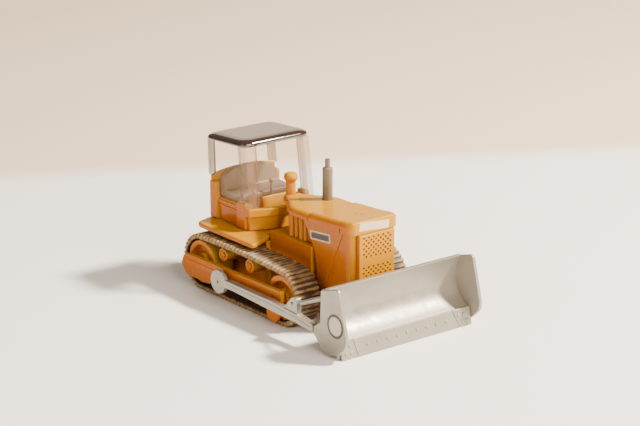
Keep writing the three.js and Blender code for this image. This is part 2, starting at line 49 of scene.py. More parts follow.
BODY_OF = {n: b for b, ns in frame["record"]["behaviour"]["bodies"].items() for n in ns}
SLOT_OF = {p["node"]: p["material_slot"] for p in frame["record"]["subparts"]}
SIDES = {"right": -1, "left": 1}
AXES = {"y": Vector((0, 1, 0)), "z": Vector((0, 0, 1))}


# ---- shapes ----

def outline(points, steps=8):
    """Closed outline through (a, b, corner radius) points."""
    made = []
    for i, (a, b, *radius) in enumerate(points):
        corner = Vector((a, b))
        if not radius or radius[0] == 0:
            made.append(corner)
            continue
        before = Vector(points[i - 1][:2]) - corner
        after = Vector(points[(i + 1) % len(points)][:2]) - corner
        start = corner + before.normalized() * radius[0]
        end = corner + after.normalized() * radius[0]
        for k in range(steps + 1):
            t = k / steps
            made.append((1 - t) ** 2 * start + 2 * t * (1 - t) * corner + t * t * end)
    return made


def mirrored(points, steps=8):
    """Outline that is symmetric about b = 0."""
    other = [(a, -b, *r) for a, b, *r in reversed(points)]
    return outline([*points, *other], steps)


def curve(start, control, end, steps=24):
    """Points along a quadratic bend, with both of its ends."""
    a, b, c = Vector(start), Vector(control), Vector(end)
    shares = [k / steps for k in range(steps + 1)]
    return [(1 - t) ** 2 * a + 2 * t * (1 - t) * b + t * t * c for t in shares]


def eased(t):
    """Soft step from 0 to 1."""
    t = min(1.0, max(0.0, t))
    return t * t * (3 - 2 * t)


def linked(bm):
    """Scene object of a finished bmesh."""
    mesh = bpy.data.meshes.new("shape")
    bm.to_mesh(mesh)
    bm.free()
    obj = bpy.data.objects.new("shape", mesh)
    bpy.context.scene.collection.objects.link(obj)
    return obj


def made_object(bm):
    bmesh.ops.remove_doubles(bm, verts=bm.verts, dist=1e-5)
    bmesh.ops.recalc_face_normals(bm, faces=bm.faces)
    return linked(bm)


def lofted(low, high):
    """Closed body between two outlines that have the same number of points."""
    bm = bmesh.new()
    rings = [[bm.verts.new(point) for point in ring] for ring in (low, high)]
    bm.faces.new(rings[0])
    bm.faces.new(rings[1])
    count = len(low)
    for i in range(count):
        j = (i + 1) % count
        bm.faces.new((rings[0][i], rings[0][j], rings[1][j], rings[1][i]))
    return made_object(bm)


def prism(shape, low, high, axis):
    """Straight body of an outline: (x, y) along z, (x, z) along y or (y, z) along x."""
    put = {
        "x": lambda p, c: (c, p[0], p[1]),
        "y": lambda p, c: (p[0], c, p[1]),
        "z": lambda p, c: (p[0], p[1], c)}[axis]
    return lofted(*[[put(p, c) for p in shape] for c in sorted((low, high))])


def block(low, high):
    corners = [(low[0], low[1]), (high[0], low[1]), (high[0], high[1]), (low[0], high[1])]
    return prism([Vector(c) for c in corners], low[2], high[2], "z")


def turned(profile, centre, axis, segments=64):
    """Closed profile of (radius, distance along) turned about an axis through centre."""
    along = AXES[axis] if isinstance(axis, str) else axis
    turn = along.to_track_quat("Z", "Y").to_matrix()
    on_axis = 1e-6
    bm = bmesh.new()
    rings = []
    for k in range(segments):
        angle = 2 * math.pi * k / segments
        ring = [Vector((r * math.cos(angle), r * math.sin(angle), h)) for r, h in profile]
        rings.append([bm.verts.new(turn @ v + Vector(centre)) for v in ring])
    for k in range(segments):
        ring, following = rings[k], rings[(k + 1) % segments]
        for i in range(len(profile)):
            j = (i + 1) % len(profile)
            if profile[i][0] < on_axis and profile[j][0] < on_axis:
                continue
            bm.faces.new((ring[i], ring[j], following[j], following[i]))
    bmesh.ops.remove_doubles(bm, verts=bm.verts, dist=1e-5)
    bmesh.ops.dissolve_degenerate(bm, edges=bm.edges, dist=1e-6)
    return made_object(bm)


def rod(radius, start, end, soft=0.0, segments=32):
    """Round bar between two points, with softened ends."""
    start, end = Vector(start), Vector(end)
    length = (end - start).length
    profile = outline([(0, 0), (radius, 0, soft), (radius, length, soft), (0, length)], 4)
    return turned(profile, start, (end - start).normalized(), segments)


def from_cad(node):
    """Copy of a CAD node's mesh in millimetres, with its flat faces whole again."""
    bm = bmesh.new()
    bm.from_mesh(frame["nodes"][node].data)
    bmesh.ops.transform(bm, matrix=Matrix.Scale(1 / MM, 4), verts=bm.verts)
    bmesh.ops.translate(bm, vec=-ROW_SHIFT, verts=bm.verts)
    bmesh.ops.remove_doubles(bm, verts=bm.verts, dist=2e-4)
    bmesh.ops.dissolve_limit(bm, angle_limit=math.radians(0.6), verts=bm.verts, edges=bm.edges)
    return made_object(bm)


def bake(obj):
    depsgraph = bpy.context.evaluated_depsgraph_get()
    mesh = bpy.data.meshes.new_from_object(obj.evaluated_get(depsgraph))
    obj.modifiers.clear()
    obj.data = mesh
    return obj


def combine(target, tool, operation):
    step = target.modifiers.new("combine", "BOOLEAN")
    step.operation = operation
    step.object = tool
    step.solver = "EXACT"
    bake(target)
    bpy.data.objects.remove(tool)
    return target


def cut(target, *tools):
    for tool in tools:
        combine(target, tool, "DIFFERENCE")
    return target


def meet(target, tool):
    return combine(target, tool, "INTERSECT")


def unite(target, *tools):
    for tool in tools:
        combine(target, tool, "UNION")
    return target


def gather(objects):
    """One object from several that stay separate shells."""
    bm = bmesh.new()
    for obj in objects:
        bm.from_mesh(obj.data)
        bpy.data.objects.remove(obj)
    return linked(bm)


def rounded(obj, width, segments=3, angle=35, where=lambda p: True):
    """Rounds the edges that turn by more than an angle and whose middle passes a test."""
    bm = bmesh.new()
    bm.from_mesh(obj.data)
    bmesh.ops.remove_doubles(bm, verts=bm.verts, dist=1e-4)
    bmesh.ops.dissolve_limit(bm, angle_limit=math.radians(0.4), verts=bm.verts, edges=bm.edges)
    sharp = [
        e for e in bm.edges
        if len(e.link_faces) == 2 and e.calc_face_angle(0) > math.radians(angle)
        and where((e.verts[0].co + e.verts[1].co) / 2)]
    bmesh.ops.bevel(
        bm, geom=sharp, offset=width, offset_type="OFFSET", segments=segments,
        profile=0.5, affect="EDGES", clamp_overlap=True)
    bm.to_mesh(obj.data)
    bm.free()
    return obj


def place(obj, name, nodes=(), body=None, slot=None, material=None, smooth=38):
    nodes = [nodes] if isinstance(nodes, str) else list(nodes)
    obj.data.transform(Matrix.Scale(MM, 4) @ Matrix.Translation(ROW_SHIFT))
    obj.name = obj.data.name = name
    for face in obj.data.polygons:
        face.use_smooth = True
    obj.data.set_sharp_from_angle(angle=math.radians(smooth))
    weigh = obj.modifiers.new("even_normals", "WEIGHTED_NORMAL")
    weigh.keep_sharp = True
    slot = slot or SLOT_OF[nodes[0]]
    obj.data.materials.clear()
    obj.data.materials.append(material or MATERIALS[slot])
    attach(obj, body or BODY_OF[nodes[0]])
    if nodes:
        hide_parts(*nodes)
    return obj


# ---- materials ----

class Nodes:
    """Small helper that wires shader nodes."""

    def __init__(self, name):
        self.material = bpy.data.materials.new(name)
        self.material.use_nodes = True
        self.tree = self.material.node_tree
        self.shader = self.tree.nodes["Principled BSDF"]
        coordinates = self.tree.nodes.new("ShaderNodeTexCoord")
        scale = self.tree.nodes.new("ShaderNodeVectorMath")
        scale.operation = "SCALE"
        scale.inputs["Scale"].default_value = 1 / MM
        self.tree.links.new(coordinates.outputs["Object"], scale.inputs[0])
        self.place = scale.outputs[0]

    def link(self, source, target):
        self.tree.links.new(source, target)

    def noise(self, per_mm, detail=3.0, stretch=None):
        node = self.tree.nodes.new("ShaderNodeTexNoise")
        node.inputs["Scale"].default_value = per_mm
        node.inputs["Detail"].default_value = detail
        source = self.place
        if stretch:
            by = self.tree.nodes.new("ShaderNodeVectorMath")
            by.operation = "MULTIPLY"
            by.inputs[1].default_value = stretch
            self.link(self.place, by.inputs[0])
            source = by.outputs[0]
        self.link(source, node.inputs["Vector"])
        return node.outputs["Fac"]

    def span(self, value, low, high, to_low, to_high):
        node = self.tree.nodes.new("ShaderNodeMapRange")
        node.inputs["From Min"].default_value = low
        node.inputs["From Max"].default_value = high
        node.inputs["To Min"].default_value = to_low
        node.inputs["To Max"].default_value = to_high
        self.link(value, node.inputs["Value"])
        return node.outputs["Result"]

    def mix(self, factor, a, b):
        node = self.tree.nodes.new("ShaderNodeMix")
        node.data_type = "RGBA"
        self.link(factor, node.inputs[0])
        for socket, value in ((node.inputs[6], a), (node.inputs[7], b)):
            if isinstance(value, tuple):
                socket.default_value = (*value, 1)
            else:
                self.link(value, socket)
        return node.outputs[2]

    def facing(self, direction):
        """How far the surface turns towards a fixed direction of the part."""
        geometry = self.tree.nodes.new("ShaderNodeNewGeometry")
        dot = self.tree.nodes.new("ShaderNodeVectorMath")
        dot.operation = "DOT_PRODUCT"
        dot.inputs[1].default_value = direction
        self.link(geometry.outputs["Normal"], dot.inputs[0])
        return dot.outputs["Value"]

    def attribute(self, name):
        node = self.tree.nodes.new("ShaderNodeAttribute")
        node.attribute_name = name
        return node.outputs["Fac"]

    def add(self, a, b):
        node = self.tree.nodes.new("ShaderNodeMath")
        node.operation = "ADD"
        self.link(a, node.inputs[0])
        self.link(b, node.inputs[1])
        return node.outputs[0]

    def bump(self, height, depth_mm):
        node = self.tree.nodes.new("ShaderNodeBump")
        node.inputs["Distance"].default_value = depth_mm * MM
        self.link(height, node.inputs["Height"])
        self.link(node.outputs["Normal"], self.shader.inputs["Normal"])

    def set(self, **values):
        for name, value in values.items():
            self.shader.inputs[name.replace("_", " ")].default_value = value


def moulded(name, colour, tint, roughness, bump):
    """Moulded plastic: cloudy colour, slightly duller patches and faint flow marks."""
    n = Nodes(name)
    n.link(n.mix(n.span(n.noise(0.12, 3), 0.35, 0.65, 0, 1), colour, tint), n.shader.inputs["Base Color"])
    dull = n.span(n.noise(0.6, 2), 0.3, 0.75, roughness * 0.85, roughness * 1.25)
    n.link(dull, n.shader.inputs["Roughness"])
    n.bump(n.add(n.noise(0.9, 2), n.noise(0.5, 1, (0.12, 1, 1))), bump)
    return n


def orange_plastic():
    """Orange with painted light: the faces turned up and forwards, towards the lamp, are painted yellower.
    """
    n = moulded("moulded_orange", (0.44, 0.108, 0.0), (0.47, 0.124, 0.0), 0.24, 0.0012)
    # Painted light: the more a face turns towards the lamp's direction, the more lit yellow is mixed in.
    lit = n.span(n.facing((0.66, 0.0, 0.75)), 0.25, 0.85, 0, 1)
    painted_light_colour = n.mix(lit, n.shader.inputs["Base Color"].links[0].from_socket, (0.48, 0.24, 0.0))
    n.link(painted_light_colour, n.shader.inputs["Base Color"])
    n.set(Specular_IOR_Level=0.1, Coat_Weight=0.16, Coat_Roughness=0.08)
    return n.material


def silver_plastic():
    n = moulded("moulded_silver", (0.33, 0.298, 0.245), (0.37, 0.336, 0.28), 0.44, 0.0008)
    n.set(Metallic=0.6, Coat_Weight=0.15, Coat_Roughness=0.2)
    return n.material


def grey_plastic():
    return moulded("moulded_grey", (0.145, 0.105, 0.064), (0.175, 0.13, 0.082), 0.45, 0.003).material


def brown_plastic():
    n = moulded("moulded_brown", (0.024, 0.011, 0.007), (0.032, 0.016, 0.010), 0.09, 0.0006)
    n.set(Coat_Weight=1.0, Coat_Roughness=0.04, IOR=1.7)
    return n.material


def clear_plastic(name, colour, tint, low, high):
    """Clear warm moulding that is denser where it is seen edge on."""
    n = Nodes(name)
    n.link(n.mix(n.noise(0.1), colour, tint), n.shader.inputs["Base Color"])
    n.link(n.span(n.noise(0.8, 4), 0.35, 0.7, 0.03, 0.1), n.shader.inputs["Roughness"])
    edge = n.tree.nodes.new("ShaderNodeLayerWeight")
    edge.inputs["Blend"].default_value = 0.35
    n.link(n.span(edge.outputs["Facing"], 0.0, 0.9, low, high), n.shader.inputs["Alpha"])
    n.bump(n.noise(0.5, 2), 0.006)
    return n.material


def rubber():
    """Dark rubber, tan where the value stored on the belt is high: wear together with painted highlight on
    the rib tops and outer edges, and painted shade in the grooves and on the inner face.
    """
    n = Nodes("track_rubber")
    patches = n.span(n.noise(0.9, 5, (1, 0.5, 1)), 0.3, 0.7, -0.35, 0.35)
    # The tan is partly wear and partly painted highlight; the dark is partly painted shade.
    worn_and_lit = n.span(n.add(n.attribute("wear_and_light"), patches), 0.15, 1.0, 0, 1)
    base = n.mix(worn_and_lit, (0.034, 0.017, 0.008), (0.36, 0.215, 0.075))
    n.link(base, n.shader.inputs["Base Color"])
    n.link(n.span(n.noise(1.5, 2), 0.3, 0.7, 0.42, 0.62), n.shader.inputs["Roughness"])
    n.bump(n.noise(3, 2), 0.012)
    return n.material


def steel():
    """Bright wire with fine lines drawn along it."""
    n = Nodes("drawn_wire")
    n.link(n.mix(n.noise(0.8, 4), (0.45, 0.44, 0.42), (0.6, 0.59, 0.57)), n.shader.inputs["Base Color"])
    n.link(n.span(n.noise(9, 2, (1, 0.05, 1)), 0.3, 0.7, 0.2, 0.4), n.shader.inputs["Roughness"])
    n.bump(n.noise(9, 2, (1, 0.05, 1)), 0.003)
    n.set(Metallic=1.0)
    return n.material


def paper(name, colour, other):
    n = Nodes(name)
    n.link(n.mix(n.span(n.noise(2.2, 5), 0.35, 0.65, 0, 1), colour, other), n.shader.inputs["Base Color"])
    n.link(n.span(n.noise(6, 3), 0.3, 0.7, 0.38, 0.55), n.shader.inputs["Roughness"])
    n.bump(n.noise(8, 3), 0.006)
    return n.material


MATERIALS = {
    "orange_plastic": orange_plastic(),
    "silver_plastic": silver_plastic(),
    "grey_plastic": grey_plastic(),
    "brown_plastic": brown_plastic(),
    "clear_plastic": clear_plastic("clear_pane", (0.90, 0.44, 0.20), (0.94, 0.49, 0.24), 0.025, 0.12),
    "rubber": rubber(),
    "steel": steel(),
}
LABEL_CREAM = paper("label_cream", (0.62, 0.48, 0.30), (0.70, 0.55, 0.36))
LABEL_GREY = paper("label_grey", (0.05, 0.04, 0.032), (0.075, 0.06, 0.048))
LABEL_SILVER = paper("label_silver", (0.50, 0.43, 0.33), (0.58, 0.50, 0.39))
WORN_BROWN = paper("worn_brown", (0.09, 0.022, 0.003), (0.14, 0.035, 0.005))
CLEAR_POST = clear_plastic("clear_post", (0.34, 0.18, 0.09), (0.40, 0.22, 0.12), 0.2, 0.5)
CLEAR_EDGE = clear_plastic("clear_edge", (0.08, 0.04, 0.02), (0.11, 0.055, 0.03), 0.4, 0.85)

for cad_name, cad_node in frame["nodes"].items():
    cad_node.data.materials.clear()
    cad_node.data.materials.append(MATERIALS[SLOT_OF[cad_name]])


# ---- tracks ----

TRACK_INNER, TRACK_OUTER, TRACK_THICK = 9.0, 15.5, 1.25
REAR_WHEEL, FRONT_WHEEL = (-24.6, 6.6), (5.6, 6.45)
ROLLER_XS, ROLLER_Z = {"rear": -16.65, "front": -6.65}, 10.25
TOP_RUN_BEND = (-10, 13.85)
ARC_STEPS = 60
RIBS, SAMPLES = 82, 10
GROOVE_START, GROOVE_SLOPE = 0.22, 0.16         # in rib pitches, from the middle of a rib
GROOVE_DEPTH = 0.3
CHASSIS_SIDE = 8.1
WHEEL_INNER, WHEEL_OUTER, WHEEL_WEB = 9.8, 15.0, 13.7
WHEEL_BORE, HUB_FACE = 0.85, 14.95
ROLLER_BORE, ROLLER_RADIUS = 0.6, 1.55
ROLLER_INNER, ROLLER_OUTER, ROLLER_FACE = 10.2, 14.7, 14.4
AXLE_RADIUS, AXLE_HALF, PIN_RADIUS = 0.75, 15.5, 0.5
FRAME_INNER, PLATE_OUTER, RAIL_OUTER = 15.75, 16.3, 16.85
PAST_FRAME = 18
PIVOT_X, PIVOT_Z = -12.75, 5.8


def belt_path(count):
    """Evenly spaced points round the belt with the way out from it at each."""
    def arc(centre, radius, start):
        angles = [start + math.pi * k / ARC_STEPS for k in range(ARC_STEPS + 1)]
        return [Vector((centre[0] + radius * math.cos(a), centre[1] + radius * math.sin(a))) for a in angles]

    front = arc(FRONT_WHEEL, FRONT_WHEEL[1], -math.pi / 2)
    rear = arc(REAR_WHEEL, REAR_WHEEL[1], math.pi / 2)
    points = front + curve(front[-1], TOP_RUN_BEND, rear[0], ARC_STEPS)[1:-1] + rear
    lengths = [(points[(i + 1) % len(points)] - p).length for i, p in enumerate(points)]
    step = sum(lengths) / count
    made = []
    reached, i = 0.0, 0
    for _ in range(count):
        while reached > lengths[i] and i < len(points) - 1:
            reached -= lengths[i]
            i += 1
        a, b = points[i], points[(i + 1) % len(points)]
        made.append(a + (b - a) * (reached / lengths[i]))
        reached += step
    path = []
    for k, p in enumerate(made):
        along = (made[(k + 1) % count] - made[k - 1]).normalized()
        path.append((p, Vector((along.y, -along.x))))
    return path


def belt_section(groove):
    """(distance from the middle plane, depth under the crown, wear and painted light) round the belt's
    section: high on the rib tops and the outer edge, as wear and as painted highlight where the light falls,
    low in the grooves and nothing on the inner face, as painted shade.
    """
    top, end = GROOVE_DEPTH * groove, TRACK_OUTER - 0.16 * groove
    rib = 1 - groove
    return [
        (TRACK_INNER, TRACK_THICK, 0),
        (TRACK_INNER, 0.5 + top, 0),
        (TRACK_INNER + 0.1, 0.16 + top, 0.3 * rib),
        (TRACK_INNER + 0.35, top, 0.5 * rib),
        (11.2, top, 0.42 * rib),
        (13.2, top, 0.5 * rib),
        (14.7, top, 0.2 + 0.6 * rib),
        (end - 0.3, top + 0.02, 0.3 + 0.7 * rib),
        (end - 0.08, top + 0.12, 0.5 + 0.5 * rib),
        (end, top + 0.32, 0.55 + 0.45 * rib),
        (end, top + 0.6, 0.75),
        (TRACK_OUTER - 0.03, 1.0, 0.6),
        (TRACK_OUTER - 0.12, 1.16, 0.3),
        (TRACK_OUTER - 0.3, TRACK_THICK, 0)]


def belt(side):
    """Rubber belt with a groove between each two ribs, and its wear and painted light stored on its points.
    """
    count = RIBS * SAMPLES
    bm = bmesh.new()
    wear_and_light = bm.verts.layers.float.new("wear_and_light")
    rings = []
    for k, (p, out) in enumerate(belt_path(count)):
        phase = abs((k % SAMPLES) / SAMPLES - 0.5)
        groove = eased((phase - GROOVE_START) / GROOVE_SLOPE)
        ring = []
        for y, depth, worn_and_lit in belt_section(groove):
            at = p - out * depth
            vert = bm.verts.new((at.x, side * y, at.y))
            vert[wear_and_light] = worn_and_lit
            ring.append(vert)
        rings.append(ring)
    size = len(rings[0])
    for k in range(count):
        ring, following = rings[k], rings[(k + 1) % count]
        for i in range(size):
            j = (i + 1) % size
            bm.faces.new((ring[i], ring[j], following[j], following[i]))
    return made_object(bm)


def wheel(side, radius, recess, centre):
    """Dished wheel: a flat rim, a deep recess and a hub round the axle."""
    profile = outline([
        (WHEEL_BORE, WHEEL_INNER, 0.1), (radius, WHEEL_INNER, 0.3),
        (radius, WHEEL_OUTER, 0.3), (recess, WHEEL_OUTER, 0.22),
        (recess - 0.15, WHEEL_WEB, 0.3), (2.05, WHEEL_WEB, 0.3),
        (1.9, HUB_FACE, 0.25), (WHEEL_BORE, HUB_FACE, 0.08)], 5)
    return turned([(r, side * h) for r, h in profile], (centre[0], 0, centre[1]), "y", 96)


def roller(side, x):
    """Carrier roller with a raised rim on its outer face."""
    profile = outline([
        (ROLLER_BORE, ROLLER_INNER), (ROLLER_RADIUS, ROLLER_INNER, 0.2),
        (ROLLER_RADIUS, ROLLER_OUTER, 0.2), (1.1, ROLLER_OUTER, 0.12),
        (1.02, ROLLER_FACE, 0.1), (ROLLER_BORE, ROLLER_FACE)], 4)
    return turned([(r, side * h) for r, h in profile], (x, 0, ROLLER_Z), "y", 48)


def track_frame(side):
    """Side plate with a rounded upper rail, a cast lug and a half-round notch, and the beam behind it."""
    plate_shape = outline([
        (-31.1, 5.0, 1.2), (-29.0, 2.7, 1.2), (-20.0, 2.7, 0.8), (-18.6, 3.5),
        (7.5, 3.7, 0.6), (7.7, 8.3, 0.6), (-29.6, 8.0, 1.6)])
    rail_shape = outline([(-27.4, 5.7, 0.5), (7.7, 6.0, 0.4), (7.7, 8.7, 0.5), (-28.6, 8.1, 1.0)])
    beam_shape = outline([(-18.6, 3.4), (-0.4, 3.4), (-0.4, 8.2), (-18.6, 8.2)])
    seam_shape = outline([(-27.0, 6.9), (6.9, 7.1), (6.9, 7.22), (-27.0, 7.02)])
    plate = rounded(prism(plate_shape, side * FRAME_INNER, side * PLATE_OUTER, "y"), 0.14)
    rail = prism(rail_shape, side * FRAME_INNER, side * RAIL_OUTER, "y")
    notch = rod(1.2, (5.0, side * 16.2, 5.9), (5.0, side * PAST_FRAME, 5.9))
    rail = rounded(cut(rail, notch), 0.26, 4)
    lug = rod(2.1, (4.4, side * FRAME_INNER, 2.9), (4.4, side * (RAIL_OUTER - 0.05), 2.9), 0, 64)
    lug = rounded(lug, 0.25, 4)
    beam = rounded(prism(beam_shape, side * CHASSIS_SIDE, side * 16.1, "y"), 0.15)
    seam = prism(seam_shape, side * 16.72, side * PAST_FRAME, "y")
    socket = rod(1.1, (PIVOT_X, side * 14.9, PIVOT_Z), (PIVOT_X, side * PAST_FRAME, PIVOT_Z))
    return cut(gather([unite(plate, rail, lug), beam]), socket, seam)


def running_gear():
    for label, side in SIDES.items():
        place(belt(side), f"ribbed_belt_{label}", f"track_belt_{label}", smooth=50)
        place(track_frame(side), f"side_frame_{label}", f"track_frame_{label}")
        place(wheel(side, 5.1, 3.95, REAR_WHEEL), f"dished_drive_wheel_{label}", f"drive_wheel_{label}")
        place(wheel(side, 5.0, 3.7, FRONT_WHEEL), f"dished_idler_wheel_{label}", f"idler_wheel_{label}")
        for where, x in ROLLER_XS.items():
            place(roller(side, x), f"flanged_roller_{where}_{label}", f"carrier_roller_{where}_{label}")
            ends = [(x, side * y, ROLLER_Z) for y in (CHASSIS_SIDE, ROLLER_OUTER)]
            pin = rod(PIN_RADIUS, *ends, 0.12, 32)
            place(pin, f"roller_pin_{where}_{label}", f"carrier_pin_{where}_{label}")
    for name, (x, z) in (("drive", REAR_WHEEL), ("idler", FRONT_WHEEL)):
        axle = rod(AXLE_RADIUS, (x, -AXLE_HALF, z), (x, AXLE_HALF, z), 0.18, 40)
        place(axle, f"wire_{name}_axle", f"{name}_axle")


# ---- hood and engine ----

HOOD_LIP = 22.0
HOOD_HALF, HOOD_FRONT, HOOD_REAR = 6.95, 19.2, -12.0
HOOD_SLOPE = 0.0545                             # rise per mm of its front part
SKIRT_HALF, SKIRT_FRONT = 6.5, 18.6
LIP_NOTCH_XS, LIP_NOTCH_HALF = (4.5, 15.6), 0.2
STACK_AT, CLEANER_AT, SOCKET_FLOOR, PIPE_FOOT = (-1.6, 3.4), (-10.6, 0), 23.0, 23.15
GRILLE_FIELDS = ((9.6, 14.5), (16.9, 21.2))     # lowest and highest row of holes in each field
GRILLE_HOLE, ROW_PITCH = 0.27, 0.6
COLUMNS, FIRST_COLUMN, COLUMN_PITCH, STAGGER = 6, -3.33, 1.33, 0.333
ENGINE_LOW, ENGINE_HIGH = 16.4, 21.9
PIPE_SIDE = 5.25
PIPES = ((-3.3, 0.7), (-1.6, 0.5), (0.1, 0.6), (1.6, 0.5))     # place along the engine and radius


def hood_top(x):
    """Height of the hood's middle, with two soft steps across it."""
    rear = 23.4 + 0.0145 * (x + 13)
    front = 24.0 + HOOD_SLOPE * (x - 5.6)
    return rear + (front - rear) * eased((x - 4.4) / 0.8) + 0.12 * eased((x - 15.2) / 0.6)


def spaced(points, step):
    """The same line with extra points, so that none are further apart than a step."""
    made = [points[0]]
    for a, b in zip(points, points[1:]):
        count = max(1, math.ceil((b - a).length / step))
        made += [a + (b - a) * (k / count) for k in range(1, count + 1)]
    return made


def slab(columns):
    """Closed body from upright columns of points round a plan that is symmetric about y = 0."""
    bm = bmesh.new()
    made = [[bm.verts.new(p) for p in column] for column in columns]
    count = len(made)
    for i in range(count):
        here, there = made[i], made[(i + 1) % count]
        for k in range(len(here) - 1):
            bm.faces.new((here[k], there[k], there[k + 1], here[k + 1]))
    for i in range(count // 2 - 1):
        other = count - 1 - i
        for k in (0, -1):
            bm.faces.new((made[i][k], made[i + 1][k], made[other - 1][k], made[other][k]))
    return made_object(bm)


def both_halves(half):
    """Whole ring of a plan from its positive half, which runs from the rear to the front."""
    return half + [Vector((p.x, -p.y)) for p in reversed(half)]


QUARTER = [math.pi / 2 * k / 8 for k in range(9)]


def hood_rim(inward):
    """Radius of the cap's rim, which is softer along the sides than across the front."""
    return 1.25 - 0.8 * eased(max(0.0, -inward.x) ** 2)


def hood_cap():
    """Top of the hood: a plan that narrows to the rear, with a rounded rim."""
    half = outline([
        (HOOD_REAR, 0), (HOOD_REAR, 1.3, 0.9), (-7.6, 3.6, 2.2), (-2.6, HOOD_HALF, 1.8),
        (HOOD_FRONT, HOOD_HALF, 2.5), (HOOD_FRONT, 0)], 14)
    ring = both_halves(spaced(half[1:-1], 0.2))
    columns = []
    for i, p in enumerate(ring):
        along = (ring[(i + 1) % len(ring)] - ring[i - 1]).normalized()
        inward = Vector((along.y, -along.x))
        radius = hood_rim(inward)
        column = [(p.x, p.y, HOOD_LIP)]
        for turn in QUARTER:
            q = p + inward * radius * (1 - math.cos(turn))
            column.append((q.x, q.y, hood_top(q.x) - radius * (1 - math.sin(turn))))
        columns.append(column)
    return slab(columns)


def engine_hood():
    cap = hood_cap()
    profile = outline([
        (2.3, 22.1), (6.4, 15.6, 0.6), (7.4, 8.2), (SKIRT_FRONT, 8.2), (SKIRT_FRONT, 22.1)])
    plan = mirrored([(SKIRT_FRONT, SKIRT_HALF, 1.7), (0, SKIRT_HALF)], 12)
    skirt = meet(prism(profile, -SKIRT_HALF, SKIRT_HALF, "y"), prism(plan, 7, 23, "z"))
    skirt = cut(skirt, block((-5, -5.3, 7), (17.4, 5.3, 23)))
    grooves = []
    for side in SIDES.values():
        line = [Vector(p) for p in ((17.0, 21.95), (11.3, 9.9), (10.4, 9.9), (16.1, 21.95))]
        grooves.append(prism(line, side * 6.28, side * 7.5, "y"))
    skirt = rounded(cut(skirt, *grooves), 0.14, 3)
    notches = []
    for x in LIP_NOTCH_XS:
        for side in SIDES.values():
            near, far = sorted((side * 6.68, side * 8))
            notches.append(block((x - LIP_NOTCH_HALF, near, 21), (x + LIP_NOTCH_HALF, far, 23.1)))
    sockets = []
    for radius, at in ((1.26, STACK_AT), (1.25, CLEANER_AT)):
        sockets.append(rod(radius, (*at, SOCKET_FLOOR), (*at, 27)))
    cap = cut(cap, gather(notches), *sockets)
    place(gather([cap, skirt]), "hood_shell", "engine_hood")


def grille():
    """Grille plate with two fields of staggered holes."""
    shape = outline([(-4.9, 8.4, 0.3), (4.9, 8.4, 0.3), (4.9, 21.9, 0.5), (-4.9, 21.9, 0.5)])
    plate = rounded(prism(shape, 18.7, 19.86, "x"), 0.16, 3)
    holes = []
    for low, high in GRILLE_FIELDS:
        rows = int(round((high - low) / ROW_PITCH))
        for row in range(rows + 1):
            shift = STAGGER if row % 2 else -STAGGER
            z = high - row * ROW_PITCH
            for column in range(COLUMNS):
                y = FIRST_COLUMN + column * COLUMN_PITCH + shift
                holes.append(rod(GRILLE_HOLE, (19.4, y, z), (20.2, y, z), 0, 10))
    plate = cut(plate, gather(holes))
    place(plate, "perforated_grille", "radiator_grille")


def engine():
    """Chassis, engine with its pipes, exhaust and air intake."""
    place(rounded(from_cad("chassis"), 0.18), "chassis_tub", "chassis")
    plan = mirrored([(17.1, 5.1, 0.4), (-3.4, 5.1, 0.6), (-7.4, 2.6, 0.8), (-10.4, 0.9, 0.6)])
    casing = rounded(prism(plan, ENGINE_LOW, ENGINE_HIGH, "z"), 0.15)
    pipes, bands = [], []
    for x, radius in PIPES:
        for s in SIDES.values():
            y = s * PIPE_SIDE
            pipes.append(rod(radius, (x, y, ENGINE_LOW), (x, y, ENGINE_HIGH), 0.05, 24))
    for z in (17.2, 20.4):
        for s in SIDES.values():
            y = s * PIPE_SIDE
            bands.append(rounded(rod(0.58, (-1.6, y, z), (-1.6, y, z + 0.5), 0, 24), 0.08, 2))
    place(gather([casing, *pipes, *bands]), "engine_casing", "engine_block")
    stack = turned(outline([
        (0, PIPE_FOOT), (1.16, PIPE_FOOT, 0.1), (1.16, 30.9, 0.3), (0.6, 30.98, 0.08), (0.58, 32.9, 0.08),
        (0.42, 32.9, 0.05), (0.40, 31.6), (0, 31.6)], 5), (*STACK_AT, 0), "z", 48)
    place(stack, "silencer_stack", "exhaust_stack")
    cleaner = turned(outline([
        (0, PIPE_FOOT), (1.15, PIPE_FOOT, 0.1), (1.15, 25.5, 0.3), (1.05, 26.2, 0.4), (1.6, 26.9, 0.45),
        (1.6, 27.7, 0.5), (1.2, 28.3, 0.5), (0, 28.42)], 6), (*CLEANER_AT, 0), "z", 56)
    place(cleaner, "mushroom_intake", "air_precleaner")


# ---- cab ----

TUB_FLOOR, TUB_HALF, TUB_INNER = 15.2, 9.2, 8.0
ROOF_REAR, ROOF_FRONT, ROOF_HALF = -30.8, -15.3, 9.6
ROOF_UNDER, UNDER_RISE = 33.7, 0.0467           # height near the rear and rise per mm forwards
ROOF_TOP, TOP_RISE = 35.1, 0.058
RIM_REACH, RIM_DROP = 2.6, 1.15
SEAT_HALF = 7.5


def deck():
    plan = mirrored([
        (-11.5, 3.8, 0.5), (-8.9, 8.3, 1.0), (-6.0, 13.9, 1.8), (-28.0, 13.9, 1.6), (-29.6, 9.2, 0.9)], 10)
    place(rounded(prism(plan, 14.0, 15.1, "z"), 0.34, 4), "rounded_deck", "deck_plate")


def cowl(inset, low, high):
    """Front of the cab tub, which points at the engine."""
    side = TUB_HALF - inset
    plan = mirrored([(-11.6 - inset, 2.9 - 0.4 * inset, 0.3), (-14.1 - inset, side, 0.3), (-15.7, side)])
    room = mirrored([(-13.1, 2.3), (-15.2, 7.8), (-17, 7.8)])
    return rounded(cut(prism(plan, low, high, "z"), prism(room, low - 1, high + 1, "z")), 0.22, 4)


def arch(low, grow=0.0):
    """Outline of the rear wall, arched over the seat back."""
    half, side, top = 8.9 + grow, 25.2 + grow, 26.3 + grow
    rise = curve((half, side), (6, top), (0, top))
    other = [Vector((-p.x, p.y)) for p in reversed(rise)]
    return [Vector((-half, low)), Vector((half, low)), *rise, *other[1:]]


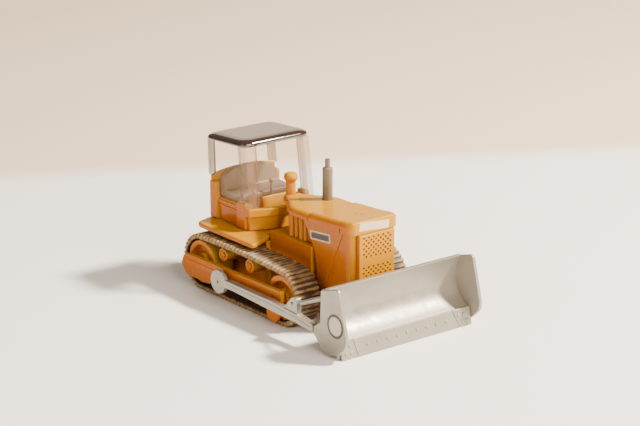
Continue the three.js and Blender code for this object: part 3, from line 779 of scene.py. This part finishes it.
def cab_base():
    """Tub with an arched rear wall, a seat box, four corner posts and door panels."""
    floor = prism(mirrored([(-12.3, 2.6), (-14.8, 8.5), (-28.6, 8.5)]), TUB_FLOOR, 16.2, "z")
    parts = [rounded(floor, 0.12, 2), cowl(0.5, TUB_FLOOR, 18.5), cowl(0, 18.4, 20.3)]
    parts.append(rounded(prism(arch(TUB_FLOOR), -29.28, -28.3, "x"), 0.25, 4))
    parts.append(rounded(block((-27.2, -6.6, 16.0), (-21.2, 6.6, 20.4)), 0.25, 3))
    rear = outline([(-29.3, TUB_FLOOR), (-26.6, TUB_FLOOR), (-26.9, 24.0, 0.5), (-29.3, 24.0)])
    front = outline([(-19.2, TUB_FLOOR), (-15.6, TUB_FLOOR), (-15.6, 21.4, 0.6), (-18.8, 21.4, 0.6)])
    for s in SIDES.values():
        for post in (rear, front):
            parts.append(rounded(prism(post, s * TUB_INNER, s * TUB_HALF, "y"), 0.25, 4))
        for low, high, out in ((TUB_FLOOR, 20.3, 8.4), (19.45, 20.05, 8.75), (18.3, 18.9, 8.62)):
            near, far = sorted((s * 7.6, s * out))
            parts.append(rounded(block((-27.0, near, low), (-19.0, far, high)), 0.15, 3))
    place(gather(parts), "cab_tub", "cab_base")


def roof_plan(inset):
    rear, front, side = inset + ROOF_REAR, ROOF_FRONT - inset, ROOF_HALF - inset
    half = outline([
        (rear, 0), (rear, side, 2.7 - 0.6 * inset), (front, side, 3.0 - 0.6 * inset), (front, 0)], 14)
    return both_halves(half[1:-1])


def cab_roof():
    """Slab that rises towards the front, with a wide soft rim."""
    rings = [[(p.x, p.y, ROOF_UNDER + UNDER_RISE * (p.x + 30.5)) for p in roof_plan(0)]]
    for turn in QUARTER:
        down = RIM_DROP * (1 - math.sin(turn))
        ring = roof_plan(RIM_REACH * (1 - math.cos(turn)))
        rings.append([(p.x, p.y, ROOF_TOP + TOP_RISE * (p.x - ROOF_REAR) - down) for p in ring])
    roof = slab(list(zip(*rings)))
    place(rounded(roof, 0.15, 3, 60, lambda p: p.z < 34.5), "glossy_roof", "cab_roof")


def seat():
    """Seat with a back that is round at the top."""
    side = outline([
        (-20.2, 20.5, 0.3), (-20.2, 21.8, 0.6), (-25.2, 22.1, 0.5), (-26.2, 27.0, 0.5),
        (-27.6, 27.0, 0.4), (-27.3, 20.5, 0.3)])
    crown = (0, 26.9)
    front = [
        Vector((-SEAT_HALF, 19)), Vector((SEAT_HALF, 19)), *curve((SEAT_HALF, 23.8), (7.2, 26.9), crown),
        *curve(crown, (-7.2, 26.9), (-SEAT_HALF, 23.8))[1:]]
    shell = meet(prism(side, -SEAT_HALF, SEAT_HALF, "y"), prism(front, -28, -20, "x"))
    place(rounded(shell, 0.3, 4), "moulded_seat", "seat")


GLASS_THICK, GLASS_RECESS, GLASS_SEAM = 0.9, 0.3, 0.02
GLASS_SILL, GLASS_RISE, GLASS_FRONT_RISE = 20.4, 13.2, 0.67
POSTS = {"front": (3.0, 3.1), "rear": (1.6, 1.5)}       # length along the side, width across the end
BORDER_AREA = (2e-6, 1.4e-5)                            # m2, of the narrow faces that border a post


def glass_body(section):
    """Leaning clear body from the sill to the roof, less the room for the cab's own posts and rear wall.

    section(rear, front, half) gives its (x, y) outline from the glazing's outside at one height.
    """
    rings = []
    for t in (0, 1):
        rear, front, half = -29.2 - t, -14.0 - 1.5 * t, 9.3 - 0.35 * t
        ring = []
        for x, y in section(rear, front, half):
            share = (x - rear) / (front - rear)
            ring.append((x, y, GLASS_SILL + t * (GLASS_RISE + GLASS_FRONT_RISE * share)))
        rings.append(ring)
    room = [
        prism(arch(15, 0.1), -32, -27, "x"), block((-32, -10, 19), (-27.58, 10, 25.35)),
        block((-27.7, -10, 19), (-26.5, 10, 24.1)), block((-19.3, -10, 19), (-15.5, 10, 21.5))]
    return rounded(cut(lofted(*rings), *room), 0.09, 3)


def glass_end(end, rear, front):
    """Outer x of an end of the glazing and the way in from it."""
    return (front, -1) if end == "front" else (rear, 1)


def corner_post(side, end):
    along, across = POSTS[end]

    def section(rear, front, half):
        x, inward = glass_end(end, rear, front)
        inner = half - GLASS_THICK
        shape = [(0, half), (0, half - across), (GLASS_THICK, half - across),
                 (GLASS_THICK, inner), (along, inner), (along, half)]
        return [(x + inward * a, side * b) for a, b in shape]
    return glass_body(section)


def side_pane(side):
    def section(rear, front, half):
        a, b = rear + POSTS["rear"][0] + GLASS_SEAM, front - POSTS["front"][0] - GLASS_SEAM
        outer, inner = side * (half - GLASS_RECESS), side * (half - GLASS_THICK)
        return [(a, outer), (b, outer), (b, inner), (a, inner)]
    return glass_body(section)


def end_pane(end):
    def section(rear, front, half):
        x, inward = glass_end(end, rear, front)
        y = half - POSTS[end][1] - GLASS_SEAM
        outer, inner = x + inward * GLASS_RECESS, x + inward * GLASS_THICK
        return [(outer, -y), (outer, y), (inner, y), (inner, -y)]
    return glass_body(section)


def glazing():
    """Clear cab: a denser post at each corner and a recessed pane between each two."""
    sides = SIDES.values()
    panes = [side_pane(s) for s in sides] + [end_pane(end) for end in POSTS]
    place(gather(panes), "clear_panes", "cab_glazing")
    posts = place(
        gather([corner_post(s, end) for s in sides for end in POSTS]), "clear_posts",
        body=TRACTOR, slot="clear_plastic", material=CLEAR_POST)
    posts.data.materials.append(CLEAR_EDGE)
    smallest, largest = BORDER_AREA
    for face in posts.data.polygons:
        narrow = smallest < face.area < largest and abs(face.normal.z) < 0.3
        face.material_index = int(narrow)


def lever(name, x, y, top):
    """Thin lever with a round knob."""
    profile = outline([(0, 16.3), (0.28, 16.3, 0.05), (0.24, top - 1.0, 0.1), (0.5, top - 0.75, 0.3),
                       (0.5, top - 0.2, 0.32), (0.2, top, 0.15), (0, top)], 5)
    place(turned(profile, (x, y, 0), "z", 28), f"knobbed_{name}", name)


def cab():
    deck()
    cab_base()
    cab_roof()
    seat()
    glazing()
    place(rounded(from_cad("dashboard"), 0.25, 4), "rounded_dashboard", "dashboard")
    lever("blade_lever", -19.0, 0.8, 24.9)
    lever("steering_lever_left", -19.6, -3.7, 22.8)
    lever("steering_lever_right", -19.6, -7.0, 22.9)


# ---- blade ----

BLADE = "blade"
BLADE_HALF, BOARD_HALF, PAST_BLADE = 19.0, 18.6, 20
END_PLATE_SHAPE = [
    (24.35, 14.25, 0.4), (30.1, 15.85, 1.0), (32.98, 5.4, 0.8), (32.55, 3.5, 0.6), (29.9, 1.1, 0.8),
    (26.8, 0.5, 0.8), (24.9, 0.95, 0.5), (23.9, 2.1, 0.5), (21.8, 3.9, 0.2), (22.0, 5.6, 0.2),
    (24.1, 7.0, 0.5)]
LEAN = math.radians(13)
EDGE_TOE, EDGE_HEIGHT, EDGE_THICK, EDGE_HALF = 30.67, 4.1, 0.55, 18.1
RIGHT_SEAM, LEFT_SEAM, SEAM_HALF = (-13.7, -14.7), (14.7, 12.95), 0.05
BOLTS, BOLT_PITCH, BOLT_HEIGHT = 9, 2.73, 2.2
RIGHT_BOLTS = ((-16.9, 1.25), (-15.4, 1.25), (-16.9, 2.75), (-15.6, 2.75))
LEFT_BOLTS = ((15.5, 1.25), (16.9, 1.25), (14.6, 2.75), (16.1, 2.75))


def blade_shell():
    """Curved board between two end plates that have small round dents."""
    front = curve((26.3, 14.75), (22.6, 7.6), (28.7, 3.95), 40)
    back = curve((28.2, 2.9), (21.3, 7.0), (25.2, 14.75), 40)
    board = [*front, Vector((29.05, 3.7)), Vector((29.9, 0.3)), Vector((29.2, 0.3)), *back]
    moldboard = rounded(prism(board, -BOARD_HALF, BOARD_HALF, "y"), 0.16, 3)
    plate = outline(END_PLATE_SHAPE, 10)
    ends, dents = [], []
    for s in SIDES.values():
        ends.append(rounded(prism(plate, s * 18.2, s * BLADE_HALF, "y"), 0.2, 4))
        for x, z in ((24.9, 4.3), (26.1, 2.3)):
            dents.append(rod(0.2, (x, s * 18.93, z), (x, s * PAST_BLADE, z), 0, 14))
    place(cut(unite(moldboard, *ends), gather(dents)), "curved_blade", "blade_shell")


def on_edge(up, out=0.0):
    """(x, z) of a point on the leaning front of the cutting edge."""
    x = EDGE_TOE - up * math.sin(LEAN) + out * math.cos(LEAN)
    z = up * math.cos(LEAN) + out * math.sin(LEAN)
    return x, z


def edge_strip(low, high):
    """Strip between two seams, each given as (y at the bottom, y at the top)."""
    back = EDGE_THICK / math.cos(LEAN)
    top_x, top_z = on_edge(EDGE_HEIGHT)
    side = [Vector(p) for p in ((EDGE_TOE, 0), (top_x, top_z), (top_x - back, top_z), (EDGE_TOE - back, 0))]
    front = [Vector(p) for p in ((low[0], 0), (high[0], 0), (high[1], top_z), (low[1], top_z))]
    return rounded(meet(prism(side, -20, 20, "y"), prism(front, 28, 32, "x")), 0.08, 3)


def bolt(y, up):
    """Round moulded bolt head with a soft crown."""
    x, z = on_edge(up, -0.15)
    lean = Vector((math.cos(LEAN), 0, math.sin(LEAN)))
    profile = outline([(0, 0), (0.38, 0), (0.38, 0.3, 0.1), (0.2, 0.37, 0.1), (0, 0.37)], 4)
    return turned(profile, (x, y, z), lean, 18)


def cutting_edges():
    row = [bolt((i - BOLTS // 2) * BOLT_PITCH, BOLT_HEIGHT) for i in range(BOLTS)]
    middle = edge_strip([y + SEAM_HALF for y in RIGHT_SEAM], [y - SEAM_HALF for y in LEFT_SEAM])
    place(gather([middle, *row]), "bolted_edge", "cutting_edge")
    strip = edge_strip((-EDGE_HALF, -EDGE_HALF), [y - SEAM_HALF for y in RIGHT_SEAM])
    place(gather([strip, *[bolt(*at) for at in RIGHT_BOLTS]]), "bolted_end_right", "end_bit_right")
    strip = edge_strip([y + SEAM_HALF for y in LEFT_SEAM], (EDGE_HALF, EDGE_HALF))
    place(gather([strip, *[bolt(*at) for at in LEFT_BOLTS]]), "bolted_end_left", "end_bit_left")


def blade():
    blade_shell()
    cutting_edges()
    line = [(-9.5, 6.35), (7.0, 6.2), (15.4, 5.75), (20.9, 5.15)]
    strip = [Vector(p) for p in line] + [Vector((x, z - 0.16)) for x, z in reversed(line)]
    for label, s in SIDES.items():
        arm = rounded(from_cad(f"push_arm_{label}"), 0.2, 4)
        dimple = rod(0.32, (PIVOT_X, s * 17.8, PIVOT_Z), (PIVOT_X, s * PAST_BLADE, PIVOT_Z), 0, 20)
        groove = prism(strip, s * 18.9, s * PAST_BLADE, "y")
        place(cut(arm, dimple, groove), f"rounded_push_arm_{label}", f"push_arm_{label}")
        strut = rounded(from_cad(f"brace_strut_{label}"), 0.12, 3)
        place(strut, f"rounded_strut_{label}", f"brace_strut_{label}")


# ---- labels and marks, all blank ----

def flat_label(name, width, height, turn, body, material, thickness, radius=0.15):
    """Thin blank label with round corners, put in place by a matrix."""
    w, h = width / 2, height / 2
    shape = outline([(-w, -h, radius), (w, -h, radius), (w, h, radius), (-w, h, radius)], 5)
    plate = rounded(prism(shape, 0, thickness, "z"), thickness * 0.35, 2)
    plate.data.transform(turn)
    slot = "silver_plastic" if body == BLADE else "orange_plastic"
    place(plate, name, body=body, slot=slot, material=material)


def facing_front(x, y, z, tilt):
    """Matrix that turns a flat label to face +X, standing upright."""
    upright = Matrix(((0, 0, 1), (1, 0, 0), (0, 1, 0))).to_4x4()
    return Matrix.Translation((x, y, z)) @ Matrix.Rotation(math.radians(tilt), 4, "X") @ upright


def facing_right(x, y, z, tilt=0.0):
    """Matrix that turns a flat label to face -Y, standing upright."""
    upright = Matrix(((1, 0, 0), (0, 0, -1), (0, 1, 0))).to_4x4()
    return Matrix.Translation((x, y, z)) @ Matrix.Rotation(math.radians(tilt), 4, "Y") @ upright


def labels():
    flat_label("blank_plate", 8.2, 1.9, facing_front(19.18, -0.3, 23.4, -4.5), TRACTOR, LABEL_CREAM, 0.06)
    border, field = [facing_right(8.35, y, 19.3, -5) for y in (-6.49, -6.535)]
    flat_label("blank_side_border", 7.0, 2.0, border, TRACTOR, LABEL_CREAM, 0.05)
    flat_label("blank_side_field", 6.2, 1.35, field, TRACTOR, LABEL_GREY, 0.03)
    for i, (x, y) in enumerate(((13.0, -0.3), (13.9, 0.5))):
        slope = Matrix.Rotation(-math.atan(HOOD_SLOPE), 4, "Y") @ Matrix.Rotation(0.5 + i, 4, "Z")
        on_top = Matrix.Translation((x, y, hood_top(x) - 0.012)) @ slope
        flat_label(f"worn_mark_{i}", 1.0, 0.3, on_top, TRACTOR, WORN_BROWN, 0.03, 0.12)
    for name, radius, y, material in (
            ("blank_badge_ring", 2.65, -18.98, LABEL_GREY), ("blank_badge", 2.05, -19.02, LABEL_SILVER)):
        profile = outline([(0, 0), (radius, 0), (radius, 0.06, 0.02), (0, 0.06)], 3)
        disc = turned(profile, (0, 0, 0), "z", 64)
        disc.data.transform(facing_right(29.3, y, 7.6))
        place(disc, name, body=BLADE, slot="silver_plastic", material=material)


# ---- stage, light, camera ----

BACKGROUND_DIRECTION = Vector((-0.878, 0.479, 0))
CREAM_START, CREAM_FULL = 106, 122              # mm along that direction
FLOOR_HALF, FLOOR_CELLS = 1.8, 24               # m
FLOOR_FLAT, FLOOR_RISE = 1.2, 0.01              # m from the middle, and rise per m beyond it
CAMERA_EYE, CAMERA_TARGET = (0.33506, -0.2638, 0.1547), (-0.00084, 0, 0.02139)
CAMERA_LENS, CAMERA_SENSOR = 113.74, 36         # mm


def stage_material():
    """White paper that turns to warm cream well behind the toy."""
    n = Nodes("pale_paper")
    distance = n.tree.nodes.new("ShaderNodeVectorMath")
    distance.operation = "DOT_PRODUCT"
    distance.inputs[1].default_value = BACKGROUND_DIRECTION
    n.link(n.place, distance.inputs[0])
    far = n.span(distance.outputs["Value"], CREAM_START, CREAM_FULL, 0, 1)
    floor = n.mix(n.noise(0.01, 3), (0.96, 0.945, 0.91), (0.985, 0.97, 0.94))
    n.link(n.mix(far, floor, (0.84, 0.66, 0.48)), n.shader.inputs["Base Color"])
    n.set(Roughness=0.85)
    return n.material


def backdrop():
    """Pale paper floor that rises very slightly towards its far edges."""
    lines = [-FLOOR_HALF + 2 * FLOOR_HALF * i / FLOOR_CELLS for i in range(FLOOR_CELLS + 1)]
    bm = bmesh.new()
    verts = []
    for x in lines:
        heights = [FLOOR_RISE * max(0.0, math.hypot(x, y) - FLOOR_FLAT) for y in lines]
        verts.append([bm.verts.new((x, y, z)) for y, z in zip(lines, heights)])
    for i in range(FLOOR_CELLS):
        for j in range(FLOOR_CELLS):
            bm.faces.new((verts[i][j], verts[i + 1][j], verts[i + 1][j + 1], verts[i][j + 1]))
    floor = made_object(bm)
    for face in floor.data.polygons:
        face.use_smooth = True
    floor.name = "pale_floor"
    floor.data.materials.append(stage_material())


def aimed(obj, position, target):
    """Puts a lamp or the camera into the scene, turned towards a point."""
    obj.location = position
    obj.rotation_euler = (Vector(target) - Vector(position)).to_track_quat("-Z", "Y").to_euler()
    bpy.context.scene.collection.objects.link(obj)
    return obj


def area_light(name, position, target, size, power, colour):
    data = bpy.data.lights.new(name, "AREA")
    data.shape = "DISK"
    data.size = size
    data.energy = power
    data.color = colour
    aimed(bpy.data.objects.new(name, data), position, target)


def lights():
    world = bpy.data.worlds.new("studio")
    bpy.context.scene.world = world
    world.use_nodes = True
    background = world.node_tree.nodes["Background"]
    background.inputs["Color"].default_value = (1.0, 0.93, 0.84, 1)
    background.inputs["Strength"].default_value = 0.2
    area_light("key", (0.34, 0.42, 0.62), (0, 0, 0.01), 0.11, 24.0, (1.0, 0.91, 0.78))
    area_light("front_light", (0.66, -0.06, 0.36), (0, 0, 0.02), 0.6, 7.5, (1.0, 0.88, 0.72))
    area_light("side_fill", (0.05, -0.8, 0.45), (0, 0, 0.02), 0.4, 1.2, (1.0, 0.88, 0.74))
    area_light("back_card", (-0.78, 0.60, 0.34), (0, 0, 0.03), 0.7, 1.5, (1.0, 0.74, 0.52))
    area_light("corner_spark", (0.12, -0.5, 0.30), (0, 0, 0.02), 0.04, 0.3, (1.0, 0.95, 0.88))


def camera():
    data = bpy.data.cameras.new("camera")
    data.lens = CAMERA_LENS
    data.sensor_width = CAMERA_SENSOR
    data.clip_start = 0.01
    data.clip_end = 10
    data.dof.use_dof = False
    bpy.context.scene.camera = aimed(bpy.data.objects.new("camera", data), CAMERA_EYE, CAMERA_TARGET)


running_gear()
engine_hood()
grille()
engine()
cab()
blade()
labels()
backdrop()
lights()
camera()
